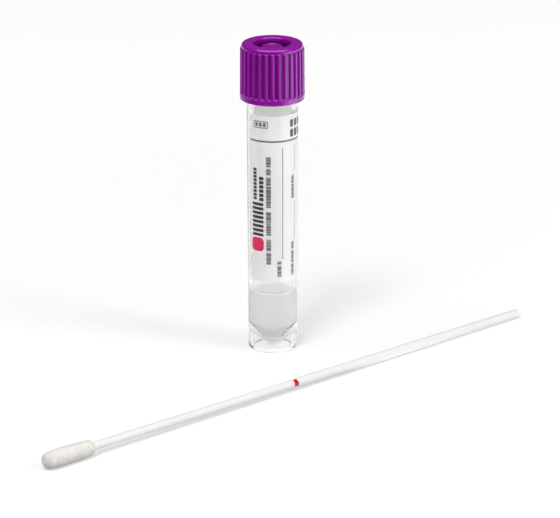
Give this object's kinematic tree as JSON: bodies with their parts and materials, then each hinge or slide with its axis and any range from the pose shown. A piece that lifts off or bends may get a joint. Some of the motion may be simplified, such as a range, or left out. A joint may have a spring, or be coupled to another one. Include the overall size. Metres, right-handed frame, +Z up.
{
  "type": "specimen swab tube",
  "caption": "Screw-capped self-standing transport tube with conical chamber, liquid and label, and the flocked swab that goes into it lying beside.",
  "frame": {"origin": "centre of the tube's foot, on the surface that the tube stands on", "axes": "+Z up along the tube's axis to the cap; the swab lies parallel to +X with its tip towards -X, on the -Y side of the tube"},
  "size_m": [0.1597, 0.038, 0.0802],
  "materials": {
    "tube_plastic": "translucent natural polypropylene, satin",
    "cap_plastic": "purple moulded plastic, smooth",
    "ring_rubber": "soft white elastomer",
    "label_film": "white printed film, satin",
    "medium_liquid": "clear watery liquid",
    "shaft_plastic": "translucent white moulded plastic",
    "flock_fibre": "short off-white flocked fibre"
  },
  "bodies": {
    "base": {"tube": "tube_plastic", "label": "label_film", "medium": "medium_liquid", "swab_shaft": "shaft_plastic", "swab_tip": "flock_fibre"},
    "seal": {"seal_ring": "ring_rubber"},
    "cap": {"cap": "cap_plastic"}
  },
  "joints": [
    {"name": "cap_lift", "type": "slide", "parent": "base", "child": "seal", "axis": [0, 0, 1], "range_m": [0, 0.01275]},
    {"name": "cap_turn", "type": "hinge", "parent": "seal", "child": "cap", "pos_m": [0, 0, 0.073], "axis": [0, 0, 1], "range_deg": [0, 1530.2]}
  ],
  "couplings": [
    {"joint": "cap_turn", "follows": "cap_lift", "rad_per_m": 2094.4}
  ]
}
